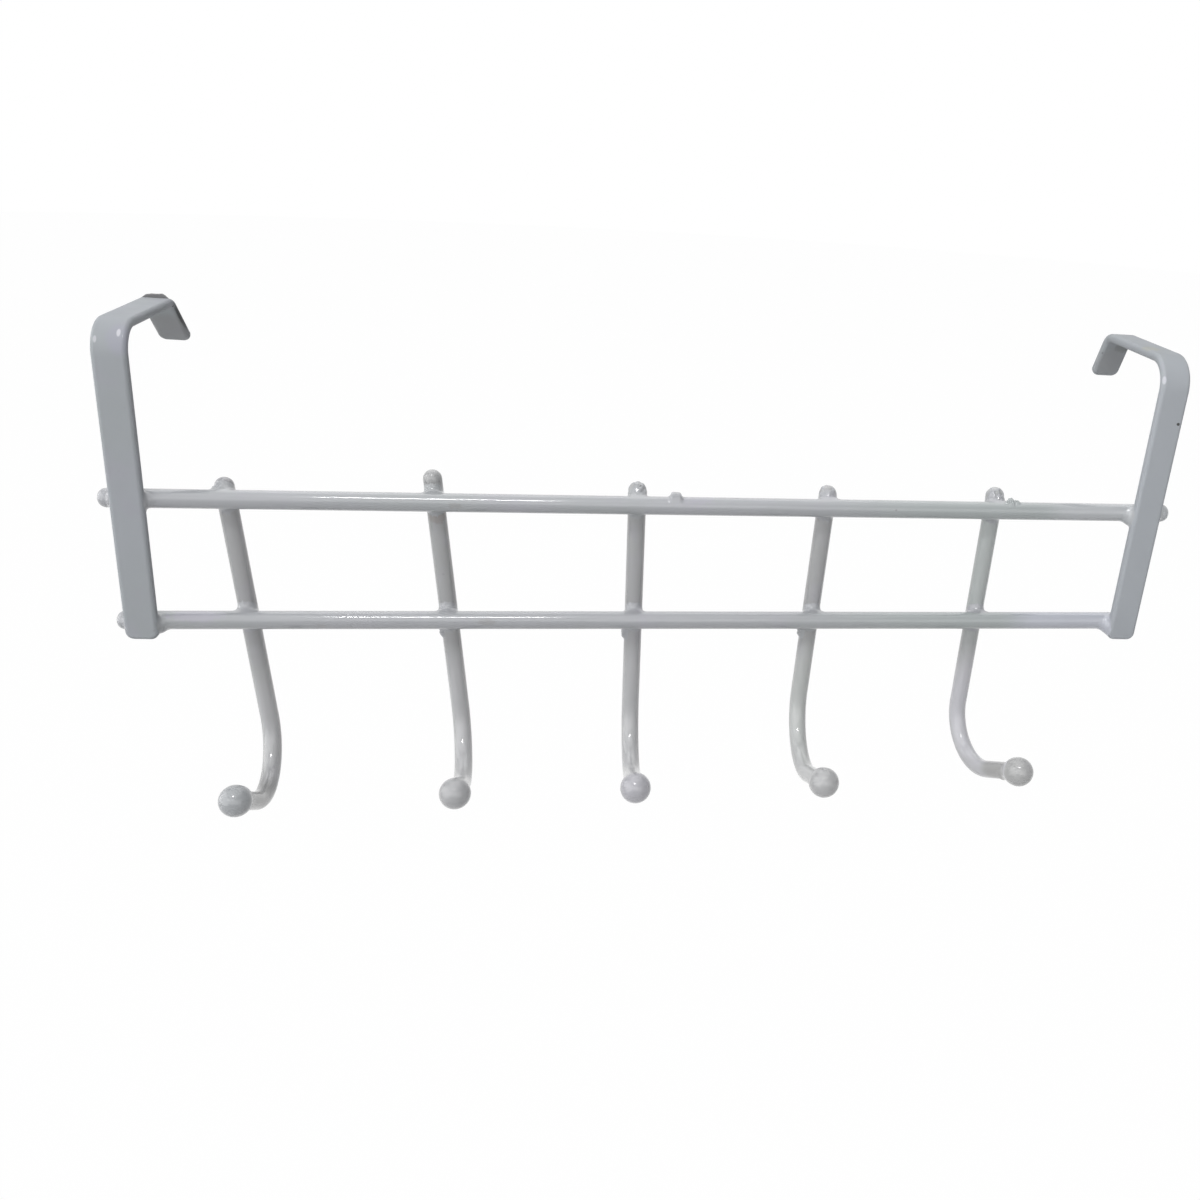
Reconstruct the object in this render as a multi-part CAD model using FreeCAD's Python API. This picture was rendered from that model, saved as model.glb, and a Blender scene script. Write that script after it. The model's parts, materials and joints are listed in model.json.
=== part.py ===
import FreeCAD, Part
import math
import os
from dataclasses import dataclass

from FreeCAD import Placement, Rotation, Vector

# Over-door rack: two rails and five ball-ended hooks of coated round wire, welded to
# two flat door brackets.
# Millimetres. X runs along the rails, +Y is behind the rack (over and behind the door),
# +Z is up. The origin is the middle of the door's front top edge: the hook wires lie
# against the door's face at Y = 0 and the brackets sit on its top at Z = 0.

# Coated round wire of the rails and hooks
WIRE_D = 6.9
WIRE_R = WIRE_D / 2

# Rails
RAIL_LENGTH = 400.0
RAIL_END_ROUND = 2.7
TOP_RAIL_DROP = 59.0
RAIL_SPACING = 46.9
BOTTOM_RAIL_SHORTFALL = 4.0

# Flat bar of the door brackets
STRAP_WIDTH = 11.5
STRAP_THICKNESS = 3.4
STRAP_EDGE_ROUND = 1.5
STRAP_CORNER_ROUND = 3.0
STRAP_INSET = 11.0

# Door leaf that the brackets hang on
DOOR_THICKNESS = 35.0
DOOR_CLEARANCE = 0.5

# Hook wires: straight from the middle of the stub's dome, then the bend, then the arm
# up to the middle of the ball
HOOK_INSET = 40.9
HOOK_PITCH = 73.4
HOOK_STRAIGHT = 92.4
HOOK_BEND_R = 20.3
HOOK_BEND_DEG = 117.0
HOOK_ARM = 23.2
BALL_D = 11.4
BALL_SEAT_DEPTH = 4.0

# Welds: how far crossing pieces are set down into each other, and the pools beside them
HOOK_SET_DOWN = 0.85
STRAP_SET_DOWN = 0.55
WIRE_WELD_R = 1.5
STRAP_WELD_R = 1.2
STRAP_WELD_INSET = 1.6
BALL_WELD_R = 1.0

# Planes that the pieces share
HOOK_Y = -WIRE_R
RAIL_Y = HOOK_Y - WIRE_D + HOOK_SET_DOWN
STRAP_BACK_Y = RAIL_Y - WIRE_R + STRAP_SET_DOWN
TOP_RAIL_Z = -TOP_RAIL_DROP
BOTTOM_RAIL_Z = TOP_RAIL_Z - RAIL_SPACING
RAIL_LEFT_X = -RAIL_LENGTH / 2


@dataclass(frozen=True)
class Bracket:
    """One door bracket, with what hand work left different from its twin."""

    name: str
    x: float
    lean_deg: float
    tail: float
    front_bend_r: float
    lip_bend_r: float
    lip_fall_deg: float
    lip_length: float


@dataclass(frozen=True)
class Hook:
    """One hook: its stub's height, and what hand bending and welding left different."""

    number: int
    stub: float
    misplaced: float
    lean_deg: float
    twist_deg: float
    spare: float
    opened: float
    over_bend_deg: float

    @property
    def x(self) -> float:
        """Where the hook's wire crosses the top rail."""
        return RAIL_LEFT_X + HOOK_INSET + (self.number - 1) * HOOK_PITCH + self.misplaced


BRACKETS = (
    Bracket("left_bracket", RAIL_LEFT_X + STRAP_INSET, -1.6, 5.4, 8.2, 4.3, 43.0, 21.5),
    Bracket("right_bracket", -RAIL_LEFT_X - STRAP_INSET, -1.1, 6.2, 9.4, 3.8, 65.0, 15.4),
)

HOOKS = (
    Hook(1, 6.4, 0.1, 4.2, -0.6, 1.4, 1.0, 5.6),
    Hook(2, 10.6, 0.0, 4.2, 1.7, 0.6, 1.1, -2.8),
    Hook(3, 7.2, 1.2, -0.4, -0.1, -3.5, 0.0, -6.5),
    Hook(4, 7.2, 1.0, -2.9, 1.4, -7.1, 2.3, -3.6),
    Hook(5, 7.5, -5.0, -1.6, 12.3, -1.7, -1.0, 0.9),
)


def is_sharp(shape, edge) -> bool:
    """Whether the two faces beside an edge meet at a corner rather than smoothly."""
    point = edge.valueAt((edge.FirstParameter + edge.LastParameter) / 2)
    normals = []
    for face in shape.ancestorsOfType(edge, Part.Face):
        normals.append(face.normalAt(*face.Surface.parameter(point)))
    return len(normals) == 2 and normals[0].getAngle(normals[1]) > math.radians(15)


def sharp_edges(shape) -> list:
    return [edge for edge in shape.Edges if is_sharp(shape, edge)]


def placed(shape, x: float, lean_deg: float, twist_deg: float = 0.0):
    """Twist an upright piece about a hook's wire, lean it about the top rail, move it."""
    twist = Placement(Vector(0, 0, 0), Rotation(Vector(0, 0, 1), twist_deg), Vector(0, HOOK_Y, 0))
    lean = Placement(
        Vector(x, 0, 0), Rotation(Vector(0, 1, 0), -lean_deg), Vector(0, 0, TOP_RAIL_Z)
    )
    shape.Placement = lean.multiply(twist).multiply(shape.Placement)
    return shape


def leaned_x(x: float, lean_deg: float, z: float) -> float:
    """Where a leaning piece's middle line is at another height."""
    return x - (z - TOP_RAIL_Z) * math.tan(math.radians(lean_deg))


# Rails


def rail(length: float, z: float):
    """A straight rail with rounded ends, from the rack's left end."""
    rod = Part.makeCylinder(WIRE_R, length, Vector(RAIL_LEFT_X, RAIL_Y, z), Vector(1, 0, 0))
    return rod.makeFillet(RAIL_END_ROUND, sharp_edges(rod))


def top_rail():
    return rail(RAIL_LENGTH, TOP_RAIL_Z)


def bottom_rail():
    return rail(RAIL_LENGTH - BOTTOM_RAIL_SHORTFALL, BOTTOM_RAIL_Z)


# Door brackets


def bend(centre: Vector, radius: float, start_deg: float, end_deg: float):
    """An arc in the side plane. Its angles run from +Y towards +Z."""

    def at(angle_deg: float) -> Vector:
        angle = math.radians(angle_deg)
        return centre + Vector(0, math.cos(angle), math.sin(angle)) * radius

    return Part.Arc(at(start_deg), at((start_deg + end_deg) / 2), at(end_deg)).toShape()


def strap_path(bracket: Bracket):
    """The strap's middle line: up the front, over the door and down the lip behind it."""
    half = STRAP_THICKNESS / 2
    front_y = STRAP_BACK_Y - half
    front_r = bracket.front_bend_r + half
    lip_r = bracket.lip_bend_r + half
    lip_bend_y = DOOR_THICKNESS + DOOR_CLEARANCE

    foot = Vector(0, front_y, BOTTOM_RAIL_Z - bracket.tail)
    rise = Part.makeLine(foot, Vector(0, front_y, half - front_r))
    front_bend = bend(Vector(0, front_y + front_r, half - front_r), front_r, 180, 90)
    top = Part.makeLine(Vector(0, front_y + front_r, half), Vector(0, lip_bend_y, half))
    lip_bend = bend(
        Vector(0, lip_bend_y, half - lip_r), lip_r, 90, 90 - bracket.lip_fall_deg
    )
    fall = math.radians(bracket.lip_fall_deg)
    lip_top = lip_bend.Vertexes[-1].Point
    lip_end = lip_top + Vector(0, math.cos(fall), -math.sin(fall)) * bracket.lip_length
    return Part.Wire([rise, front_bend, top, lip_bend, Part.makeLine(lip_top, lip_end)])


def strap(bracket: Bracket):
    """The bent flat bar, with round corners at both ends and softened edges all round."""
    path = strap_path(bracket)
    foot = path.Vertexes[0].Point
    across = Vector(STRAP_WIDTH / 2, 0, 0)
    through = Vector(0, STRAP_THICKNESS / 2, 0)
    corners = [
        foot - across - through,
        foot + across - through,
        foot + across + through,
        foot - across + through,
    ]
    section = Part.makePolygon(corners + corners[:1])
    bar = path.makePipeShell([section], True, True)
    end_corners = [
        edge for edge in sharp_edges(bar) if abs(edge.Length - STRAP_THICKNESS) < 0.01
    ]
    bar = bar.makeFillet(STRAP_CORNER_ROUND, end_corners)
    bar = bar.makeFillet(STRAP_EDGE_ROUND, sharp_edges(bar))
    return placed(bar, bracket.x, bracket.lean_deg)


def strap_weld(bracket: Bracket, rail_z: float, side: int):
    """The weld in the crevice above (side 1) or below (side -1) a rail, behind a strap."""
    face_y = STRAP_BACK_Y - RAIL_Y
    crevice = Vector(0, face_y, math.sqrt(WIRE_R**2 - face_y**2))
    pool_y = face_y + STRAP_WELD_R
    reach = WIRE_R + STRAP_WELD_R
    pool = Vector(0, pool_y, math.sqrt(reach**2 - pool_y**2))
    on_strap = Vector(0, face_y, pool.z)
    on_rail = pool * (WIRE_R / reach)
    towards_rail = on_rail - pool
    middle = pool + (on_strap - pool + towards_rail).normalize() * STRAP_WELD_R
    rail_middle = (crevice + on_rail).normalize() * WIRE_R
    outline = Part.Wire(
        [
            Part.makeLine(crevice, on_strap),
            Part.Arc(on_strap, middle, on_rail).toShape(),
            Part.Arc(on_rail, rail_middle, crevice).toShape(),
        ]
    )
    length = STRAP_WIDTH - 2 * STRAP_WELD_INSET
    bead = Part.Face(outline).extrude(Vector(length, 0, 0))
    if side < 0:
        bead = bead.mirror(Vector(0, 0, 0), Vector(0, 0, 1))
    middle_x = leaned_x(bracket.x, bracket.lean_deg, rail_z)
    return bead.translated(Vector(middle_x - length / 2, RAIL_Y, rail_z))


def strap_welds(bracket: Bracket):
    beads = [
        strap_weld(bracket, rail_z, side)
        for rail_z in (TOP_RAIL_Z, BOTTOM_RAIL_Z)
        for side in (1, -1)
    ]
    return Part.makeCompound(beads)


# Hooks


def hook_path(hook: Hook):
    """An upright hook's middle line, from the middle of its dome, and the ball's middle."""
    radius = HOOK_BEND_R + hook.opened
    bend_deg = HOOK_BEND_DEG + hook.over_bend_deg
    start = Vector(0, HOOK_Y, 0)
    bend_start = start - Vector(0, 0, HOOK_STRAIGHT + hook.spare)
    centre = bend_start - Vector(0, radius, 0)
    bent = bend(centre, radius, 0, -bend_deg)
    arm_start = bent.Vertexes[-1].Point
    turn = math.radians(bend_deg)
    heading = Vector(0, -math.sin(turn), -math.cos(turn))
    ball_middle = arm_start + heading * HOOK_ARM
    wire_end = ball_middle - heading * (BALL_D / 2 - BALL_SEAT_DEPTH)
    path = Part.Wire([Part.makeLine(start, bend_start), bent, Part.makeLine(arm_start, wire_end)])
    return path, ball_middle


def hook_height(hook: Hook) -> Vector:
    """How far an upright hook is lifted so that its dome tops the top rail by the stub."""
    return Vector(0, 0, TOP_RAIL_Z + hook.stub - WIRE_R)


def hook_rod(hook: Hook):
    """The bent wire with its domed top, before its seats are pressed into it."""
    path, _ = hook_path(hook)
    start = path.Vertexes[0].Point
    section = Part.Wire(Part.makeCircle(WIRE_R, start, Vector(0, 0, -1)))
    rod = path.makePipeShell([section], True, True)
    rod = rod.fuse(Part.makeSphere(WIRE_R, start)).removeSplitter()
    return placed(rod.translated(hook_height(hook)), hook.x, hook.lean_deg, hook.twist_deg)


def hook_ball(hook: Hook, rod):
    """The ball, bored for the wire's end, with the weld that closes its mouth."""
    _, middle = hook_path(hook)
    ball = Part.makeSphere(BALL_D / 2, middle).translated(hook_height(hook))
    ball = placed(ball, hook.x, hook.lean_deg, hook.twist_deg)
    joined = ball.fuse(rod)
    centre = ball.Solids[0].CenterOfMass
    mouth = [
        edge
        for edge in sharp_edges(joined)
        if edge.CenterOfMass.distanceToPoint(centre) < BALL_D / 2
    ]
    return joined.makeFillet(BALL_WELD_R, mouth).cut(rod)


def wire_weld(hook: Hook, rod, rail_rod, rail_z: float):
    """The pool of weld round the crossing of a hook and a rail."""
    crossing = Vector(leaned_x(hook.x, hook.lean_deg, rail_z), RAIL_Y + WIRE_R, rail_z)
    joined = rail_rod.fuse(rod)
    seam = [
        edge
        for edge in sharp_edges(joined)
        if edge.CenterOfMass.distanceToPoint(crossing) < WIRE_D
    ]
    return joined.makeFillet(WIRE_WELD_R, seam).cut(rail_rod).cut(rod)


def nodes() -> dict:
    """Every piece of the rack, by its node's name."""
    rails = {TOP_RAIL_Z: top_rail(), BOTTOM_RAIL_Z: bottom_rail()}
    pieces = {"top_rail": rails[TOP_RAIL_Z], "bottom_rail": rails[BOTTOM_RAIL_Z]}
    for bracket in BRACKETS:
        pieces[bracket.name] = strap(bracket).cut(list(rails.values()))
        pieces[f"{bracket.name}_welds"] = strap_welds(bracket)
    for hook in HOOKS:
        rod = hook_rod(hook)
        pieces[f"hook_wire_{hook.number}"] = rod.cut(list(rails.values()))
        pieces[f"hook_ball_{hook.number}"] = hook_ball(hook, rod)
        pools = [wire_weld(hook, rod, rail_rod, z) for z, rail_rod in rails.items()]
        pieces[f"hook_{hook.number}_welds"] = Part.makeCompound(pools)
    return pieces


def main() -> None:
    os.makedirs("parts", exist_ok=True)
    for name, shape in nodes().items():
        shape.exportStep(f"parts/{name}.step")


if __name__ == "__main__":
    main()
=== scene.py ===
"""Looks of the over-door hook rack: pale grey coating, pools, drips and marks, in a pale studio."""

import json
import logging
import math
from dataclasses import dataclass, field
from enum import Enum
from typing import Any, Optional, Union

import bmesh
import bpy
from mathutils import Matrix, Vector, noise

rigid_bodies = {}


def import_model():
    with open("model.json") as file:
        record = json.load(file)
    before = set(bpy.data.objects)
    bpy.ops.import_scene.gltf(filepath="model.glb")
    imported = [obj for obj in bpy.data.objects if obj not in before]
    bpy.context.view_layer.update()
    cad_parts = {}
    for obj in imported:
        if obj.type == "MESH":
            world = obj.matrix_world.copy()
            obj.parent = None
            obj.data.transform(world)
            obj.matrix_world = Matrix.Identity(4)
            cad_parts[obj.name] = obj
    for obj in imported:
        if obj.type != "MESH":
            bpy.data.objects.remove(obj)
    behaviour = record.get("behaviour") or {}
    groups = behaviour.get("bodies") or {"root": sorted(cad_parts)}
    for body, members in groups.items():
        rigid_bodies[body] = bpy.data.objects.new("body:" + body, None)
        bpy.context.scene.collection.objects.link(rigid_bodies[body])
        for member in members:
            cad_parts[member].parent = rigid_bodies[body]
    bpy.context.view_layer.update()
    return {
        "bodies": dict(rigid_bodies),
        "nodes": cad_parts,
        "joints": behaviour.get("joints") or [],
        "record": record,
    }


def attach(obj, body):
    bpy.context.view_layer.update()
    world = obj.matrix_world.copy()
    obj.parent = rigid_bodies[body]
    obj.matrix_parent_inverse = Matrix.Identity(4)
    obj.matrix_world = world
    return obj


LOG = logging.getLogger("rack")

MM = 0.001
BODY = "root"

# Sizes that the drips and pools share with the solids they lie on, in millimetres
WIRE_R = 3.45
HOOK_Y = -3.45
RAIL_Y = -9.5
TOP_RAIL_Z = -59.0
BOTTOM_RAIL_Z = -105.9
BALL_R = 5.7
STRAP_Y = -14.1
STRAP_HALF_WIDTH = 5.75
STRAP_HALF_THICKNESS = 1.7
STRAP_HALF_LENGTH = 35.0
RAIL_END_X = 196.0
HIDDEN_RAIL_END_X = 188.0
WIRE_LOW_Z = -125.0

# Inputs of a colour Mix node, whose names are not its own alone
MIX_SHARE, MIX_BASE, MIX_OVER, MIX_RESULT = 0, 6, 7, 2

# How soft a mark's edge is, and how far noise moves it, as shares of its reach
MARK_FADE_FROM = 0.55
MARK_RAGGEDNESS = 1.1

# How strongly a noise's finer layers show
CLOUD_ROUGHNESS = 0.5

# Where in each noise's range a tint starts and is full
COOL_BAND = (0.35, 0.68)
HAZE_BAND = (0.5, 0.72)
GRIME_BAND = (0.6, 0.78)
SPECK_BAND = (0.05, 0.09)
GLOSS_BAND = (0.3, 0.75)
GLOSS_SWING = (-0.04, 0.07)

# How much the streaks and the fine grains each shape the grime, and the grains the specks
GRIME_STREAKS = 0.65
GRIME_GRAINS = 0.35
SPECK_RAGGEDNESS = 0.06

# A pool's skin: how far it sinks below what it lies on, and how finely it is found
POOL_SUNK = 0.07
POOL_HALVINGS = 13
POOL_SUBDIVISIONS = 5

# Spatter's noise
SPATTER_ROUGHNESS = 0.8
SPATTER_SPACING = 2.1
SPATTER_LAYERS = 3
SPATTER_LIFT = 0.35
SPATTER_SHIFTS = (5.3, 2.9, 1.7)

SAME_POINT_M = 1e-6
POINT_DIGITS = 3

Colour = tuple[float, float, float]
Point = tuple[float, float, float]


class Side(Enum):
    """One of the two brackets, as seen from in front."""

    LEFT = "left"
    RIGHT = "right"


class Level(Enum):
    """One of the two rails, by the height of its middle."""

    TOP = TOP_RAIL_Z
    BOTTOM = BOTTOM_RAIL_Z


# ---------------------------------------------------------------- shader maths


class Socket:
    """An output of a shader node that can be used in Python expressions."""

    def __init__(self, shader: "Shader", output: bpy.types.NodeSocket) -> None:
        """Keep the output and the shader it belongs to.

        Args:
            shader: The shader that adds the nodes of an expression.
            output: The node's output.
        """
        self.shader = shader
        self.output = output

    def _maths(self, operation: str, first: Any, second: Any) -> "Socket":
        """Add one Math node."""
        return self.shader.node("ShaderNodeMath", {"operation": operation}, {0: first, 1: second})

    def __add__(self, other: Any) -> "Socket":
        """This value plus another."""
        return self._maths("ADD", self, other)

    def __sub__(self, other: Any) -> "Socket":
        """This value less another."""
        return self._maths("SUBTRACT", self, other)

    def __mul__(self, other: Any) -> "Socket":
        """This value times another."""
        return self._maths("MULTIPLY", self, other)


class Shader:
    """The node tree of a material or world, built by one method that adds any node."""

    def __init__(self, owner: Union[bpy.types.Material, bpy.types.World]) -> None:
        """Start an empty tree.

        Args:
            owner: The material or world.
        """
        owner.use_nodes = True
        self.owner = owner
        self.tree = owner.node_tree
        self.tree.nodes.clear()

    def node(
        self,
        kind: str,
        settings: Optional[dict[str, Any]] = None,
        sockets: Optional[dict[Any, Any]] = None,
        output: Any = 0,
    ) -> Socket:
        """Add a node, set it up, and give its inputs their values or links.

        Args:
            kind: The node's type name.
            settings: Properties of the node.
            sockets: Input name or index to a value or a Socket.
            output: Name or index of the output wanted.

        Returns:
            The wanted output.
        """
        made = self.tree.nodes.new(kind)
        for key, value in (settings or {}).items():
            setattr(made, key, value)
        for key, value in (sockets or {}).items():
            if isinstance(value, Socket):
                self.tree.links.new(value.output, made.inputs[key])
            else:
                made.inputs[key].default_value = value
        return Socket(self, made.outputs[output] if made.outputs else None)

    def place(self) -> Socket:
        """The point being shaded, in the part's own frame."""
        return self.node("ShaderNodeTexCoord", output="Object")

    def cloud(self, where: Socket, per_metre: float, detail: float = 2.0) -> Socket:
        """Soft noise from 0 to 1.

        Args:
            where: The point being shaded.
            per_metre: How fine the noise is.
            detail: How many finer layers it has.

        Returns:
            The noise's value.
        """
        return self.node(
            "ShaderNodeTexNoise",
            {"noise_dimensions": "3D"},
            {"Vector": where, "Scale": per_metre, "Detail": detail, "Roughness": CLOUD_ROUGHNESS},
        )

    def ramp(self, value: Socket, low: float, high: float, to: tuple[float, float]) -> Socket:
        """Map a value's range smoothly to another, and hold it there beyond its ends.

        Args:
            value: What is mapped.
            low: Start of its range.
            high: End of its range.
            to: The results at the start and end.

        Returns:
            The mapped value.
        """
        return self.node(
            "ShaderNodeMapRange",
            {"interpolation_type": "SMOOTHSTEP"},
            {"Value": value, "From Min": low, "From Max": high, "To Min": to[0], "To Max": to[1]},
        )

    def tint(self, share: Any, base: Any, over: Any) -> Socket:
        """Mix a colour over another.

        Args:
            share: How much of the second colour shows, 0 to 1.
            base: The first colour, a Socket or three numbers.
            over: The second colour, a Socket or three numbers.

        Returns:
            The mixed colour.
        """
        below, above = (c if isinstance(c, Socket) else (*c, 1.0) for c in (base, over))
        return self.node(
            "ShaderNodeMix",
            {"data_type": "RGBA"},
            {MIX_SHARE: share, MIX_BASE: below, MIX_OVER: above},
            MIX_RESULT,
        )

    def near(self, where: Socket, point: Point, reach: Point, ragged: Optional[Socket]) -> Socket:
        """A soft-edged patch round a point.

        Args:
            where: The point being shaded.
            point: The patch's middle, in millimetres.
            reach: Its half widths along X, Y and Z, in millimetres.
            ragged: Noise that roughens its edge, if it is ragged.

        Returns:
            1 inside the patch, 0 outside.
        """
        centre = tuple(-c / r for c, r in zip(point, reach))
        scale = tuple(1 / (r * MM) for r in reach)
        local = self.node(
            "ShaderNodeVectorMath", {"operation": "MULTIPLY_ADD"}, {0: where, 1: scale, 2: centre}
        )
        far = self.node("ShaderNodeVectorMath", {"operation": "LENGTH"}, {0: local}, output=1)
        if ragged is not None:
            far = far + (ragged - 0.5) * MARK_RAGGEDNESS
        return self.ramp(far, MARK_FADE_FROM, 1.0, (1.0, 0.0))

    def seen(self) -> Socket:
        """Tell the rays that show the background from those that light the rack.

        Returns:
            1 on rays from the camera, a mirror or a pane, else 0.
        """
        rays = ("Is Camera Ray", "Is Glossy Ray", "Is Transmission Ray")
        camera, mirror, pane = (self.node("ShaderNodeLightPath", output=ray) for ray in rays)
        return camera + mirror + pane

    def finish(
        self, surface: Socket, kind: str = "ShaderNodeOutputMaterial"
    ) -> Union[bpy.types.Material, bpy.types.World]:
        """Link the surface to the tree's output.

        Args:
            surface: The shader's last output.
            kind: The type of output node.

        Returns:
            The material or world.
        """
        self.node(kind, sockets={"Surface": surface})
        return self.owner


# ---------------------------------------------------------------- finishes


@dataclass(frozen=True)
class Mark:
    """A speck, chip, smudge, stain, painted highlight or patch of painted shade at one place on the
    coating.
    """

    at: Point
    reach: Point
    colour: Colour
    strength: float = 1.0
    ragged: bool = True


def smudge(at: Point, reach: Point, colour: Colour, strength: float) -> Mark:
    """A mark whose edge fades out softly."""
    return Mark(at, reach, colour, strength, ragged=False)


@dataclass(frozen=True)
class Coating:
    """Thick glossy pale grey dip coating over steel, with its unevenness and dirt."""

    name: str
    colour: Colour = (0.352, 0.36, 0.382)
    cool: Colour = (0.335, 0.35, 0.362)
    lavender: Colour = (0.36, 0.35, 0.405)
    dirt: Colour = (0.17, 0.158, 0.145)
    lavender_share: float = 0.3
    speck_share: float = 0.18
    grime_share: float = 0.1
    peel: float = 0.06
    waves: float = 0.22
    roughness: float = 0.36
    coat: float = 0.9
    coat_roughness: float = 0.06
    ior: float = 1.45
    broad_per_m: float = 22.0
    streaks_per_m: float = 75.0
    grains_per_m: float = 700.0
    specks_per_m: float = 95.0
    waves_per_m: float = 95.0
    wave_mm: float = 1.1
    peel_per_m: float = 620.0
    peel_mm: float = 0.22
    gloss_per_m: float = 140.0
    marks: tuple[Mark, ...] = ()

    def _colour(self, shader: Shader, where: Socket) -> Socket:
        """The coating's colour with its tints, dirt and marks.

        Args:
            shader: The material being made.
            where: The point being shaded.

        Returns:
            The colour.
        """
        broad = shader.cloud(where, self.broad_per_m, detail=3.0)
        streak = shader.cloud(where, self.streaks_per_m, detail=4.0)
        fine = shader.cloud(where, self.grains_per_m)
        paint = shader.tint(shader.ramp(broad, *COOL_BAND, (0.0, 1.0)), self.colour, self.cool)
        haze = shader.ramp(streak, *HAZE_BAND, (0.0, self.lavender_share))
        paint = shader.tint(haze, paint, self.lavender)
        dirty = streak * GRIME_STREAKS + fine * GRIME_GRAINS
        grime = shader.ramp(dirty, *GRIME_BAND, (0.0, self.grime_share))
        paint = shader.tint(grime, paint, self.dirt)
        cell = shader.node(
            "ShaderNodeTexVoronoi",
            {"feature": "F1"},
            {"Vector": where, "Scale": self.specks_per_m, "Randomness": 1.0},
            output="Distance",
        )
        ragged_cell = cell + fine * SPECK_RAGGEDNESS
        speck = shader.ramp(ragged_cell, *SPECK_BAND, (self.speck_share, 0.0))
        paint = shader.tint(speck, paint, self.dirt)
        for mark in self.marks:
            ragged = fine if mark.ragged else None
            patch = shader.near(where, mark.at, mark.reach, ragged) * mark.strength
            paint = shader.tint(patch, paint, mark.colour)
        return paint

    def _relief(self, shader: Shader, where: Socket) -> Socket:
        """Orange peel and slow waves in the coating's skin.

        Args:
            shader: The material being made.
            where: The point being shaded.

        Returns:
            The normal.
        """
        slow = shader.node(
            "ShaderNodeBump",
            sockets={
                "Strength": self.waves,
                "Distance": self.wave_mm * MM,
                "Height": shader.cloud(where, self.waves_per_m, detail=1.0),
            },
        )
        return shader.node(
            "ShaderNodeBump",
            sockets={
                "Strength": self.peel,
                "Distance": self.peel_mm * MM,
                "Height": shader.cloud(where, self.peel_per_m),
                "Normal": slow,
            },
        )

    def dress(self) -> bpy.types.Material:
        """Make the coating's material.

        Returns:
            The material.
        """
        shader = Shader(bpy.data.materials.new(self.name))
        where = shader.place()
        patches = shader.cloud(where, self.gloss_per_m, detail=3.0)
        gloss = shader.ramp(patches, *GLOSS_BAND, GLOSS_SWING)
        surface = shader.node(
            "ShaderNodeBsdfPrincipled",
            sockets={
                "Base Color": self._colour(shader, where),
                "Roughness": gloss + self.roughness,
                "IOR": self.ior,
                "Coat Weight": self.coat,
                "Coat Roughness": self.coat_roughness,
                "Normal": self._relief(shader, where),
            },
        )
        return shader.finish(surface)


# ---------------------------------------------------------------- coating that has run and pooled


@dataclass(frozen=True)
class Rod:
    """A round wire that coating gathers on, or a ball where both ends are one point."""

    start: Point
    end: Point
    radius: float = WIRE_R

    def gap(self, at: Vector) -> float:
        """How far a point is outside the wire.

        Args:
            at: The point.

        Returns:
            The distance, negative inside.
        """
        start = Vector(self.start)
        run = Vector(self.end) - start
        share = (at - start).dot(run) / (run.length_squared or 1.0)
        return (at - start - run * min(max(share, 0.0), 1.0)).length - self.radius


@dataclass(frozen=True)
class Bar:
    """A flat bar or block with rounded edges that coating gathers on."""

    middle: Point
    half: Point
    edge_r: float = 1.5
    corner_r: float = 3.0
    lean_deg: float = 0.0

    def gap(self, at: Vector) -> float:
        """How far a point is outside the bar.

        Args:
            at: The point.

        Returns:
            The distance, negative inside.
        """
        lean = math.radians(self.lean_deg)
        way = at - Vector(self.middle)
        x = way.x * math.cos(lean) + way.z * math.sin(lean)
        z = way.z * math.cos(lean) - way.x * math.sin(lean)
        outline = self._rounded(abs(x) - self.half[0], abs(z) - self.half[2], self.corner_r)
        return self._rounded(outline, abs(way.y) - self.half[1], self.edge_r)

    def _rounded(self, over: float, beyond: float, radius: float) -> float:
        """How far a point is outside a corner of two sides that is rounded off."""
        a, b = over + radius, beyond + radius
        return math.hypot(max(a, 0.0), max(b, 0.0)) + min(max(a, b), 0.0) - radius


Form = Union[Rod, Bar]


@dataclass(frozen=True)
class Rough:
    """Where spatter has roughened a pool, how high it stands and how coarse it is."""

    at: Point
    reach: float
    height: float
    grain: float
    seed: int

    def rise(self, at: Vector) -> float:
        """How far the spatter lifts the skin at a point.

        Args:
            at: The point.

        Returns:
            The lift, 0 beyond the spatter's reach.
        """
        fade = max(1.0 - (at - Vector(self.at)).length / self.reach, 0.0)
        if not fade:
            return 0.0
        spot = at * self.grain + Vector([self.seed * step for step in SPATTER_SHIFTS])
        bump = noise.fractal(spot, SPATTER_ROUGHNESS, SPATTER_SPACING, SPATTER_LAYERS)
        return (bump + SPATTER_LIFT) * self.height * min(fade * 2.0, 1.0)


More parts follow.
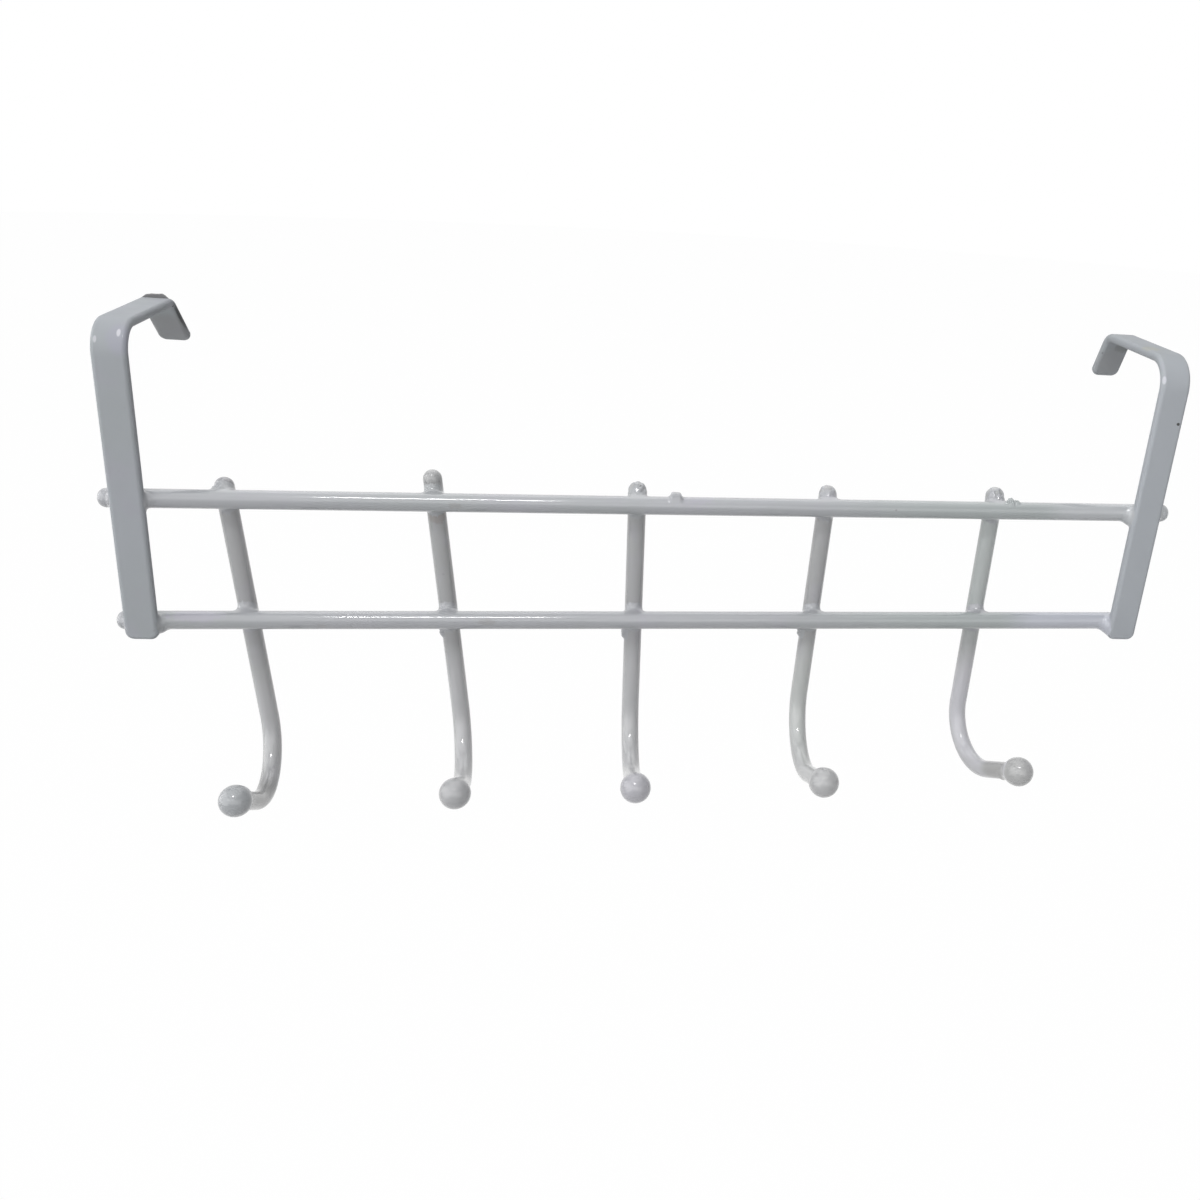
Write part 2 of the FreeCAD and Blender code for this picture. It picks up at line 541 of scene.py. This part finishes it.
@dataclass(frozen=True)
class Pool:
    """Coating that has run together softly where forms meet."""

    name: str
    middle: Point
    reach: float
    forms: tuple[Form, ...]
    blend: float = 3.0
    rough: Optional[Rough] = None

    def _gap(self, at: Vector) -> float:
        """How far a point is outside the pool's skin.

        Args:
            at: The point.

        Returns:
            The distance, negative inside.
        """
        total = self.forms[0].gap(at)
        for form in self.forms[1:]:
            other = form.gap(at)
            mix = max(self.blend - abs(total - other), 0.0) / self.blend
            total = min(total, other) - mix * mix * self.blend / 4
        return total + POOL_SUNK - (self.rough.rise(at) if self.rough else 0.0)

    def build(self) -> bpy.types.Object:
        """Pull a ball's points in along their rays until they lie on the pool's skin.

        Returns:
            The pool's object.
        """
        mesh = bmesh.new()
        bmesh.ops.create_icosphere(mesh, subdivisions=POOL_SUBDIVISIONS, radius=1.0)
        middle_point = Vector(self.middle)
        for vert in mesh.verts:
            ray, far = vert.co.normalized(), self.reach
            step = far / 2 if self._gap(middle_point + ray * far) > 0 else 0.0
            for _ in range(POOL_HALVINGS if step else 0):
                far += -step if self._gap(middle_point + ray * far) > 0 else step
                step /= 2
            vert.co = (middle_point + ray * far) * MM
        bmesh.ops.recalc_face_normals(mesh, faces=mesh.faces)
        return into_object(mesh, self.name)


@dataclass(frozen=True)
class Sliver:
    """The ragged dark ridge on the left bracket's back bend, a painted shadow made as a piece."""

    name: str = "left_lip_ridge"
    outline: tuple[tuple[float, float], ...] = (
        (-192.6, 3.1),
        (-190.8, 4.4),
        (-188.9, 4.7),
        (-187.0, 4.65),
        (-185.0, 4.8),
        (-184.1, 4.1),
        (-182.9, 2.9),
        (-181.7, 1.5),
        (-181.5, 0.2),
        (-184.0, 0.0),
        (-190.0, 1.6),
    )
    front_y: float = 36.2
    depth: float = 1.5
    soft: float = 0.3
    profile: float = 0.6

    def build(self) -> bpy.types.Object:
        """Cut the ridge's outline, give it its depth and soften its edges.

        Returns:
            The ridge's object.
        """
        mesh = bmesh.new()
        verts = [mesh.verts.new(Vector((x, self.front_y, z)) * MM) for x, z in self.outline]
        face = mesh.faces.new(verts)
        swept = bmesh.ops.extrude_face_region(mesh, geom=[face])["geom"]
        moved = [g for g in swept if isinstance(g, bmesh.types.BMVert)]
        bmesh.ops.translate(mesh, verts=moved, vec=(0, self.depth * MM, 0))
        bmesh.ops.bevel(
            mesh,
            geom=mesh.edges[:],
            offset=self.soft * MM,
            segments=2,
            affect="EDGES",
            profile=self.profile,
        )
        bmesh.ops.remove_doubles(mesh, verts=mesh.verts, dist=SAME_POINT_M)
        bmesh.ops.recalc_face_normals(mesh, faces=mesh.faces)
        return into_object(mesh, self.name)


def into_object(mesh: bmesh.types.BMesh, name: str) -> bpy.types.Object:
    """Turn a bmesh into a smooth object at the origin.

    Args:
        mesh: The bmesh, which is freed.
        name: The object's name.

    Returns:
        The linked object.
    """
    for face in mesh.faces:
        face.smooth = True
    data = bpy.data.meshes.new(name)
    mesh.to_mesh(data)
    mesh.free()
    made = bpy.data.objects.new(name, data)
    bpy.context.scene.collection.objects.link(made)
    return made


def keep_piece(piece: bpy.types.Object, material: bpy.types.Material) -> None:
    """Dress a new piece and let it ride on the rack.

    Args:
        piece: The new piece.
        material: Its material.
    """
    piece.data.materials.clear()
    piece.data.materials.append(material)
    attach(piece, BODY)
    LOG.info("%s: %d faces", piece.name, len(piece.data.polygons))


def dress_node(frame: dict[str, Any], node: str, material: bpy.types.Material) -> None:
    """Give a CAD node its material.

    Args:
        node: The node's name.
        material: The material.
    """
    data = frame["nodes"][node].data
    data.materials.clear()
    data.materials.append(material)
    LOG.info("%s: dressed in %s", node, material.name)


# ---------------------------------------------------------------- sub-assemblies


@dataclass(frozen=True)
class Upright:
    """A straight strap or wire: where it crosses the top rail, and how it leans."""

    x: float
    lean_deg: float
    y: float = HOOK_Y

    def at(self, z: float, aside: float = 0.0, forward: float = 0.0) -> Point:
        """A point beside the upright's middle line at a height.

        Args:
            z: The height.
            aside: How far to the right of the middle line.
            forward: How far in front of the middle line.

        Returns:
            The point.
        """
        lean = (z - TOP_RAIL_Z) * math.tan(math.radians(self.lean_deg))
        return (self.x - lean + aside, self.y - forward, z)


WIRES = {
    1: Upright(-159.0, 4.2),
    2: Upright(-85.7, 4.2),
    3: Upright(-11.1, -0.4),
    4: Upright(62.1, -2.9),
    5: Upright(129.5, -1.6),
}
STUBS = {1: 6.4, 2: 10.6, 3: 7.2, 4: 7.2, 5: 7.5}
FEET_Z = {Side.LEFT: -111.3, Side.RIGHT: -112.1}
STRAPS = {
    Side.LEFT: Upright(-189.0, -1.6, STRAP_Y),
    Side.RIGHT: Upright(189.0, -1.1, STRAP_Y),
}


def rail(level: Level) -> Rod:
    """A rail's wire, where the bottom one stops behind the right strap."""
    right_x = RAIL_END_X if level is Level.TOP else HIDDEN_RAIL_END_X
    return Rod((-RAIL_END_X, RAIL_Y, level.value), (right_x, RAIL_Y, level.value))


def wire(number: int) -> Rod:
    """A hook's straight wire, up to its rounded stub."""
    stub = TOP_RAIL_Z + STUBS[number] - WIRE_R
    return Rod(WIRES[number].at(stub), WIRES[number].at(WIRE_LOW_Z))


def strap(side: Side) -> Bar:
    """A bracket's flat strap from its foot up to above the top rail.

    Args:
        side: Which bracket.

    Returns:
        The strap.
    """
    upright = STRAPS[side]
    half = (STRAP_HALF_WIDTH, STRAP_HALF_THICKNESS, STRAP_HALF_LENGTH)
    return Bar(upright.at(FEET_Z[side] + STRAP_HALF_LENGTH), half, lean_deg=upright.lean_deg)


def ball(x: float, y: float, z: float, radius: float) -> Rod:
    """A round drop of coating."""
    return Rod((x, y, z), (x, y, z), radius)


@dataclass
class Rails:
    """The two rails with their pools, drips, specks and smudges, and painted light on their right
    ends.
    """

    greener: Mark = smudge((170.0, -9.5, -80.0), (130.0, 60.0, 90.0), (0.33, 0.362, 0.362), 0.8)
    marks: dict[Level, tuple[Mark, ...]] = field(
        default_factory=lambda: {
            Level.TOP: (
                Mark((87.5, -12.9, -58.3), (0.6, 0.9, 0.45), (0.17, 0.16, 0.15), 0.5),
                Mark((-77.6, -12.9, -59.1), (3.2, 1.6, 1.4), (0.25, 0.24, 0.23), 0.35),
                Mark((12.0, -9.6, -58.0), (9.0, 4.0, 4.0), (0.36, 0.35, 0.41), 0.6),
                # Painted light: the top rail's right end is paler, standing in for extra light from
                # the front right.
                smudge((178.0, -11.0, -59.0), (34.0, 20.0, 20.0), (0.42, 0.435, 0.455), 0.95),
            ),
            Level.BOTTOM: (
                Mark((-67.3, -12.8, -105.3), (4.2, 1.6, 1.5), (0.24, 0.23, 0.22), 0.35),
                Mark((-128.0, -12.9, -107.0), (2.4, 1.2, 1.2), (0.26, 0.25, 0.24), 0.3),
                Mark((-172.0, -11.0, -103.5), (12.0, 4.0, 3.0), (0.36, 0.35, 0.41), 0.7),
                # Painted light: the bottom rail's right end is paler, standing in for extra light
                # from the front right.
                smudge((174.0, -11.0, -106.0), (40.0, 20.0, 20.0), (0.43, 0.445, 0.5), 0.95),
            ),
        }
    )
    drops: dict[tuple[Level, Side], tuple[Rod, ...]] = field(
        default_factory=lambda: {
            (Level.TOP, Side.RIGHT): (ball(183.6, -11.0, -61.6, 1.3),),
            (Level.BOTTOM, Side.LEFT): (ball(-184.8, -10.8, -109.2, 0.6),),
            (Level.BOTTOM, Side.RIGHT): (ball(183.2, -11.4, -107.9, 2.0),),
        }
    )
    strap_pool_back: float = 1.4
    strap_pool_reach: float = 11.5
    strap_pool_blend: float = 3.2

    def _on_top(self) -> list[Pool]:
        """The drips and spatter along the top rail.

        Returns:
            Their pools.
        """
        top = rail(Level.TOP)
        drip = Bar((3.0, -9.8, -55.6), (2.0, 1.7, 1.9), edge_r=0.8, corner_r=0.8, lean_deg=-4.0)
        bead = ball(134.3, -9.2, -55.0, 0.95), ball(137.0, -9.4, -55.9, 0.8)
        end = ball(195.6, -9.8, -62.3, 1.0)
        spatter = Rough((134.5, -9.5, -55.0), reach=4.0, height=0.5, grain=1.2, seed=9)
        end_spatter = Rough((198.0, -10.5, -59.0), reach=4.5, height=0.45, grain=0.9, seed=5)
        return [
            Pool("top_rail_drip", (3.0, RAIL_Y, -58.0), 7.5, (top, drip), 1.8),
            Pool("top_rail_bead", (134.5, RAIL_Y, -58.0), 7.5, (top, *bead), 1.2, spatter),
            Pool("top_rail_end_drip", (195.5, RAIL_Y, -59.5), 6.0, (top, end), 1.5, end_spatter),
        ]

    def _at_strap(self, level: Level, side: Side) -> Pool:
        """The pool where a rail meets a strap.

        Args:
            level: Which rail.
            side: Which bracket.

        Returns:
            The pool.
        """
        corner = "top" if level is Level.TOP else "foot"
        return Pool(
            f"{corner}_{side.value}_pool",
            STRAPS[side].at(level.value, 0.0, -self.strap_pool_back),
            self.strap_pool_reach,
            (rail(level), strap(side), *self.drops.get((level, side), ())),
            self.strap_pool_blend,
        )

    def build(self, frame: dict[str, Any]) -> None:
        """Dress both rails and build what has pooled on them and dripped from them.
        """
        skins = {}
        for level, marks in self.marks.items():
            name = f"{level.name.lower()}_rail"
            skins[level] = Coating(f"{name}_coating", marks=(self.greener, *marks)).dress()
            dress_node(frame, name, skins[level])
        for pool in self._on_top():
            keep_piece(pool.build(), skins[Level.TOP])
        for level in Level:
            for side in Side:
                keep_piece(self._at_strap(level, side).build(), skins[level])


@dataclass
class Brackets:
    """The two door brackets with their chip and tints, painted glints, painted shade, and a dark
    ridge standing in for a shadow.
    """

    marks: dict[Side, tuple[Mark, ...]] = field(
        default_factory=lambda: {
            Side.LEFT: (
                # Painted shade: the left lip's inner face, darker where it faces down, away from
                # the light.
                smudge((-187.5, 48.0, -9.0), (12.0, 12.0, 12.0), (0.27, 0.275, 0.28), 0.7),
                smudge((-184.0, -13.0, -3.0), (5.0, 6.0, 7.0), (0.35, 0.35, 0.42), 0.5),
                # Painted highlights: two small pale glints at the edges of the left strap's front
                # bend.
                smudge((-184.2, -12.8, -0.6), (0.8, 1.6, 2.0), (0.78, 0.78, 0.82), 0.6),
                smudge((-191.4, -14.4, -2.6), (0.7, 1.4, 1.6), (0.72, 0.72, 0.76), 0.5),
                # Painted shade: a near-black band on the left lip's right side face, which lies in
                # deep shadow.
                smudge((-181.2, 45.0, -4.0), (1.3, 12.0, 12.0), (0.03, 0.03, 0.032), 0.97),
            ),
            Side.RIGHT: (
                # Painted light: the right strap's front is paler all over, standing in for extra
                # light from the front right.
                smudge((189.0, -14.1, -50.0), (30.0, 14.0, 80.0), (0.393, 0.416, 0.446), 0.9),
                # Painted highlight: a small pale glint at the right strap's front bend.
                smudge((184.9, -14.7, -4.9), (0.9, 1.6, 2.0), (0.78, 0.78, 0.82), 0.5),
                Mark((193.5, -15.8, -21.3), (0.8, 0.9, 0.65), (0.04, 0.038, 0.035), 0.95),
                Mark((187.1, 4.8, 3.5), (4.5, 5.0, 1.5), (0.38, 0.38, 0.32), 0.5),
                # Painted shade: a dark spot at the right lip's left edge, a darker patch under its
                # back bend, and its darker inner face.
                Mark((184.7, 40.2, -5.4), (0.9, 1.2, 1.2), (0.08, 0.07, 0.07), 0.7),
                Mark((192.2, 38.1, -3.1), (4.0, 4.0, 2.6), (0.2, 0.21, 0.2), 0.6),
                smudge((189.5, 44.0, -9.0), (7.0, 9.0, 10.0), (0.3, 0.3, 0.31), 0.5),
            ),
        }
    )

    def build(self, frame: dict[str, Any]) -> None:
        """Dress both brackets and their welds, and build the dark ridge on the left lip, a painted
        shadow made as a piece.
        """
        for side, marks in self.marks.items():
            coating = Coating(
                f"{side.value}_bracket_coating",
                colour=(0.345, 0.364, 0.39),
                cool=(0.332, 0.354, 0.37),
                waves=0.12,
                roughness=0.66,
                coat=0.04,
                marks=marks,
            ).dress()
            dress_node(frame, f"{side.value}_bracket", coating)
            dress_node(frame, f"{side.value}_bracket_welds", coating)
        # Painted shadow: the ridge's dark material stands in for shade behind the left lip.
        dark = Coating(
            "painted_shadow_ridge",
            colour=(0.17, 0.17, 0.175),
            cool=(0.14, 0.14, 0.145),
            lavender_share=0.0,
            roughness=0.5,
            coat=0.0,
        ).dress()
        keep_piece(Sliver().build(), dark)


@dataclass
class Hooks:
    """The five ball-ended hooks with their welds, lumps, collars and rough ends."""

    # Partly painted light: round hook 5 the coating is greener, and paler where extra light from
    # the front right falls.
    greener: Mark = smudge((150.0, -6.0, -85.0), (55.0, 40.0, 48.0), (0.385, 0.412, 0.408), 0.9)
    # Painted light: the hooks' lower bends are paler where light from above falls on them.
    painted_bend_light: Mark = smudge(
        (0.0, -12.0, -146.0), (260.0, 50.0, 32.0), (0.44, 0.443, 0.455), 0.85
    )
    # Per hook: real stains, and painted light and painted shade.
    stains_light_and_shade: dict[int, tuple[Mark, ...]] = field(
        default_factory=lambda: {
            1: (
                Mark((-160.0, -4.0, -53.5), (8.0, 8.0, 4.0), (0.25, 0.25, 0.27), 0.8),
                # Painted shade: hook 1's arm behind its ball is darker.
                smudge((-151.5, -38.0, -168.5), (16.0, 22.0, 12.0), (0.2, 0.2, 0.202), 0.95),
            ),
            2: (Mark((-83.8, -6.6, -65.6), (5.0, 3.0, 3.2), (0.24, 0.2, 0.17), 0.4),),
            3: (Mark((-9.8, -5.2, -53.2), (1.5, 1.6, 1.2), (0.1, 0.1, 0.11), 0.7),),
            # Painted light: hook 4's lower bend is paler.
            4: (smudge((70.0, -15.0, -143.0), (25.0, 50.0, 36.0), (0.445, 0.462, 0.453), 0.9),),
            5: (
                # Painted light on hook 5's lower bend, then painted shade on its arm behind the
                # ball.
                smudge((144.0, -14.0, -146.0), (32.0, 60.0, 34.0), (0.5, 0.5, 0.535), 0.95),
                smudge((139.0, -40.0, -158.0), (17.0, 15.0, 9.5), (0.3, 0.3, 0.295), 0.9),
            ),
        }
    )
    spatter: dict[int, Rough] = field(
        default_factory=lambda: {
            1: Rough((-160.2, -6.8, -55.2), reach=3.4, height=0.5, grain=0.7, seed=3),
            3: Rough((-11.1, -4.2, -53.6), reach=5.0, height=0.5, grain=0.75, seed=11),
            4: Rough((62.0, -4.0, -53.6), reach=4.6, height=0.35, grain=0.6, seed=17),
            5: Rough((129.6, -4.2, -53.8), reach=5.4, height=0.5, grain=0.65, seed=8),
        }
    )
    knobs: dict[int, Colour] = field(
        default_factory=lambda: {
            1: (0.335, 0.35, 0.365),
            2: (0.375, 0.378, 0.39),
            3: (0.405, 0.403, 0.436),
            4: (0.4, 0.403, 0.41),
            5: (0.375, 0.378, 0.378),
        }
    )
    wire_colour: Colour = (0.345, 0.347, 0.355)
    wire_cool: Colour = (0.33, 0.335, 0.338)
    knob_cool_share: float = 0.95
    pool_forward: float = 3.05
    pool_reach: float = 7.6
    spattered_pool_reach: float = 10.2
    pool_blend: float = 4.2
    lumps: tuple[tuple[int, float, float], ...] = (
        (2, -112.4, 1.3),
        (3, -113.2, 1.5),
        (4, -112.6, 1.5),
    )
    lump_reach: float = 6.5
    lump_blend: float = 1.6
    lump_half_height: float = 1.2
    lump_aside: float = -2.9
    lump_forward: float = 0.6
    lump_spatter_aside: float = -4.0
    arm_end_reach: float = 4.2
    collar_arm: tuple[float, float] = (2.0, 14.0)
    collar_middle: float = 4.6
    collar_reach: float = 6.5
    collar_blend: float = 3.4

    def _pools(self, number: int) -> list[Pool]:
        """The coating that has run together at a hook's two crossings.

        Args:
            number: The hook's number.

        Returns:
            Its pools at the top and the bottom rail.
        """
        pools = []
        for level in Level:
            spatter = self.spatter.get(number) if level is Level.TOP else None
            pools.append(
                Pool(
                    f"{level.name.lower()}_pool_{number}",
                    WIRES[number].at(level.value, 0.0, self.pool_forward),
                    self.spattered_pool_reach if spatter else self.pool_reach,
                    (rail(level), wire(number)),
                    self.pool_blend,
                    spatter,
                )
            )
        return pools

    def _lump(self, number: int, z: float, radius: float) -> Pool:
        """A lump on the left of a wire, just below the bottom rail.

        Args:
            number: The hook's number.
            z: The lump's height.
            radius: How thick it is.

        Returns:
            The lump.
        """
        upright = WIRES[number]
        side = upright.at(z, self.lump_spatter_aside)
        high, low = (
            upright.at(z + way * self.lump_half_height, self.lump_aside, self.lump_forward)
            for way in (1, -1)
        )
        return Pool(
            f"hook_{number}_lump",
            upright.at(z),
            self.lump_reach,
            (wire(number), Rod(high, low, radius)),
            self.lump_blend,
            Rough(side, reach=3.0, height=0.3, grain=1.0, seed=number),
        )

    def _collar(self, number: int, ball_middle: Vector, arm_end: Vector) -> Pool:
        """The coating's soft flare where a hook's arm runs into its ball.

        Args:
            number: The hook's number.
            ball_middle: The ball's middle.
            arm_end: The middle of the arm's end inside the ball.

        Returns:
            The flare.
        """
        back = (arm_end - ball_middle).normalized()
        arm = Rod(*(tuple(ball_middle + back * far) for far in self.collar_arm))
        return Pool(
            f"ball_collar_{number}",
            tuple(ball_middle + back * self.collar_middle),
            self.collar_reach,
            (ball(*ball_middle, BALL_R), arm),
            self.collar_blend,
        )

    def _knob_skin(self, number: int) -> bpy.types.Material:
        """The glossier coating of a hook's ball.

        Args:
            number: The hook's number.

        Returns:
            The material.
        """
        colour = self.knobs[number]
        return Coating(
            f"hook_ball_{number}_coating",
            colour=colour,
            cool=tuple(c * self.knob_cool_share for c in colour),
            lavender_share=0.15,
            speck_share=0.1,
            peel=0.02,
            waves=0.06,
            coat=1.0,
        ).dress()

    def build(self, frame: dict[str, Any]) -> None:
        """Dress the hooks and build what stands on them.
        """
        weld = Coating("weld_coating", waves=0.4, peel=0.1, lavender_share=0.45).dress()
        for number in WIRES:
            skin = Coating(
                f"hook_{number}_coating",
                colour=self.wire_colour,
                cool=self.wire_cool,
                marks=(self.greener, self.painted_bend_light, *self.stains_light_and_shade.get(number, ())),
            ).dress()
            dress_node(frame, f"hook_wire_{number}", skin)
            dress_node(frame, f"hook_ball_{number}", self._knob_skin(number))
            dress_node(frame, f"hook_{number}_welds", weld)
            knob = middle(corners(frame, f"hook_ball_{number}"))
            points = corners(frame, f"hook_wire_{number}")
            arm_end = middle([p for p in points if (p - knob).length < self.arm_end_reach])
            keep_piece(self._collar(number, knob, arm_end).build(), skin)
            for pool in self._pools(number):
                keep_piece(pool.build(), weld)
        for number, z, radius in self.lumps:
            keep_piece(self._lump(number, z, radius).build(), weld)


def corners(frame: dict[str, Any], node: str) -> list[Vector]:
    """A CAD node's points, in millimetres.

    Args:
        node: The node's name.

    Returns:
        Its mesh's points, each once.
    """
    piece = frame["nodes"][node]
    placed = (piece.matrix_world @ vert.co for vert in piece.data.vertices)
    points = {tuple(round(c / MM, POINT_DIGITS) for c in point) for point in placed}
    return [Vector(point) for point in sorted(points)]


def middle(points: list[Vector]) -> Vector:
    """The middle of the box round some points."""
    low, high = (Vector(map(pick, zip(*points))) for pick in (min, max))
    return (low + high) / 2


# ---------------------------------------------------------------- studio


@dataclass(frozen=True)
class Softbox:
    """A rectangular lamp aimed at the rack."""

    name: str
    place: Point
    aim: Point
    width: float
    height: float
    watts: float

    def build(self) -> None:
        """Hang the lamp."""
        lamp = bpy.data.lights.new(self.name, "AREA")
        lamp.shape = "RECTANGLE"
        lamp.size, lamp.size_y = self.width, self.height
        lamp.energy = self.watts
        hung = bpy.data.objects.new(self.name, lamp)
        direction = Vector(self.aim) - Vector(self.place)
        turned = direction.to_track_quat("-Z", "Y").to_matrix().to_4x4()
        hung.matrix_world = Matrix.Translation(self.place) @ turned
        bpy.context.scene.collection.objects.link(hung)


@dataclass(frozen=True)
class PhotoCamera:
    """The photo's viewpoint, in metres and degrees, for a 1200 pixel square frame."""

    place: Point = (-0.03638, -0.42311, 0.07656)
    yaw_deg: float = 8.903
    pitch_deg: float = 22.547
    roll_deg: float = 3.61
    focal_px: float = 1157.7
    frame_px: float = 1200.0
    off_centre_px: float = 136.6
    sensor_mm: float = 36.0
    clip_start_m: float = 0.01

    def build(self) -> None:
        """Set up the camera and make it the scene's own."""
        turns = (self.yaw_deg, self.pitch_deg, self.roll_deg)
        yaw, pitch, roll = (math.radians(degrees) for degrees in turns)
        ahead = Vector(
            (math.sin(yaw) * math.cos(pitch), math.cos(yaw) * math.cos(pitch), -math.sin(pitch))
        )
        level = Vector((math.cos(yaw), -math.sin(yaw), 0.0))
        upward = level.cross(ahead)
        right = level * math.cos(roll) + upward * math.sin(roll)
        above = upward * math.cos(roll) - level * math.sin(roll)
        data = bpy.data.cameras.new("photo_camera")
        data.sensor_width = self.sensor_mm
        data.sensor_fit = "HORIZONTAL"
        data.lens = self.focal_px / self.frame_px * self.sensor_mm
        data.shift_x = -self.off_centre_px / self.frame_px
        data.clip_start = self.clip_start_m
        camera = bpy.data.objects.new("photo_camera", data)
        axes = Matrix((right, above, -ahead)).transposed().to_4x4()
        camera.matrix_world = Matrix.Translation(self.place) @ axes
        bpy.context.scene.collection.objects.link(camera)
        bpy.context.scene.camera = camera


@dataclass
class Studio:
    """Pale floor, plain light and a white surround."""

    floor_z: float = -0.5
    floor_r: float = 6.0
    floor_sides: int = 96
    floor_white: float = 0.99
    grain_per_m: float = 40.0
    paper_greys: tuple[float, float] = (0.59, 0.61)
    paper_roughness: float = 0.8
    world_colour: Colour = (0.97, 0.985, 1.0)
    world_strength: float = 0.03
    lamps: tuple[Softbox, ...] = (
        Softbox("window_softbox", (-0.24, -0.74, 1.16), (-0.02, 0.0, -0.08), 0.36, 0.12, 5.5),
        Softbox("ceiling_panel", (-0.1, 0.15, 1.5), (0.0, 0.1, -0.08), 2.6, 2.2, 15.0),
        Softbox("left_panel", (-1.9, -0.5, 0.25), (0.0, 0.0, -0.08), 3.2, 2.6, 40.0),
        Softbox("front_panel", (-0.5, -2.0, 0.9), (0.0, 0.0, -0.08), 2.0, 1.4, 11.3),
        Softbox("right_front_panel", (1.1, -1.7, 0.5), (0.2, 0.0, -0.08), 1.6, 1.4, 2.7),
        Softbox("near_front_panel", (0.32, -0.85, 0.15), (0.12, 0.0, -0.08), 0.7, 0.5, 0.75),
        Softbox("high_back_panel", (0.0, 2.2, 2.4), (0.0, 0.0, -0.08), 4.0, 2.4, 24.0),
    )

    def _floor(self) -> None:
        """Lay the floor, which the camera sees as near white with the rack's shadow on it."""
        mesh = bmesh.new()
        bmesh.ops.create_circle(
            mesh, cap_ends=True, radius=self.floor_r, segments=self.floor_sides
        )
        bmesh.ops.translate(mesh, verts=mesh.verts, vec=(0, 0, self.floor_z))
        floor = into_object(mesh, "studio_floor")
        shader = Shader(bpy.data.materials.new("floor_paper"))
        grain = shader.cloud(shader.place(), self.grain_per_m, detail=3.0)
        paper = shader.tint(grain, *((grey,) * 3 for grey in self.paper_greys))
        matt = shader.node(
            "ShaderNodeBsdfPrincipled",
            sockets={"Base Color": paper, "Roughness": self.paper_roughness},
        )
        white = shader.node("ShaderNodeEmission", sockets={"Strength": 1.0})
        share = shader.seen() * self.floor_white
        surface = shader.node("ShaderNodeMixShader", sockets={0: share, 1: matt, 2: white})
        floor.data.materials.append(shader.finish(surface))

    def _surround(self) -> None:
        """Light the world plainly, and show it white to the camera."""
        shader = Shader(bpy.data.worlds.new("studio_world"))
        ambient = shader.node(
            "ShaderNodeBackground",
            sockets={"Color": (*self.world_colour, 1.0), "Strength": self.world_strength},
        )
        white = shader.node(
            "ShaderNodeBackground", sockets={"Color": (1.0, 1.0, 1.0, 1.0), "Strength": 1.0}
        )
        surface = shader.node(
            "ShaderNodeMixShader", sockets={0: shader.seen(), 1: ambient, 2: white}
        )
        bpy.context.scene.world = shader.finish(surface, "ShaderNodeOutputWorld")

    def build(self) -> None:
        """Set up the studio."""
        self._floor()
        self._surround()
        for lamp in self.lamps:
            lamp.build()
        bpy.context.scene.view_settings.view_transform = "Standard"


def main() -> None:
    """Build every piece in order and report it."""
    logging.basicConfig(level=logging.INFO, format="%(message)s")
    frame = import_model()
    for part in (Rails(), Brackets(), Hooks()):
        part.build(frame)
        LOG.info("%s built", type(part).__name__)
    Studio().build()
    PhotoCamera().build()


if __name__ == "__main__":
    main()
